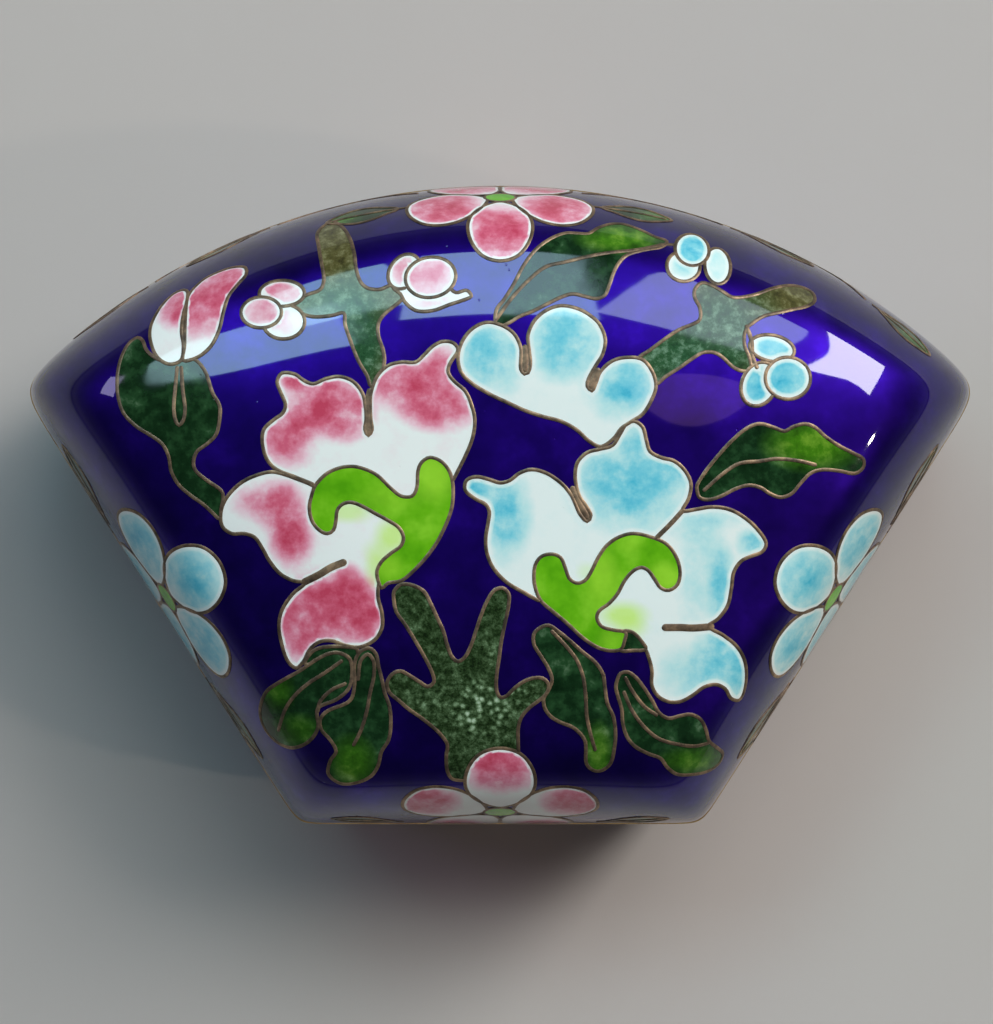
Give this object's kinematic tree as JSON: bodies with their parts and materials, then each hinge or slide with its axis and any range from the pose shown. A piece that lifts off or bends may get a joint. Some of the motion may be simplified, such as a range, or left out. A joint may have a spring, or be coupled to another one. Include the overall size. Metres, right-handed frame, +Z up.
{
  "type": "cloisonne enamel box",
  "caption": "Small fan-shaped trinket box in cloisonne enamel on copper, with flowers and leaves on a cobalt ground, brass bands at the mouth and a domed lid that lifts off.",
  "frame": {"origin": "middle of the footprint, on the surface the box stands on", "axes": "+Z up through the lid, +X along the width between the two pointed back corners, +Y towards the curved back wall"},
  "size_m": [0.0828, 0.0562, 0.038],
  "materials": {
    "cobalt_enamel": "transparent cobalt vitreous enamel, fired, ground flush and polished to a high gloss",
    "pink_enamel": "opaque crimson enamel shaded into white, polished",
    "turquoise_enamel": "opaque turquoise enamel shaded into white, polished",
    "leaf_enamel": "dark green enamel with fine lighter specks, polished",
    "lime_enamel": "opaque lime green enamel, polished",
    "lining_enamel": "plain pale turquoise counter-enamel with a soft gloss",
    "wire_copper": "flattened wire on edge, ground flush and dulled by firing",
    "rim_brass": "soft satin brass with handling wear"
  },
  "bodies": {
    "root": {"lid_shell": "cobalt_enamel", "lid_rim": "rim_brass", "base_shell": "cobalt_enamel", "base_rim": "rim_brass"}
  },
  "joints": []
}
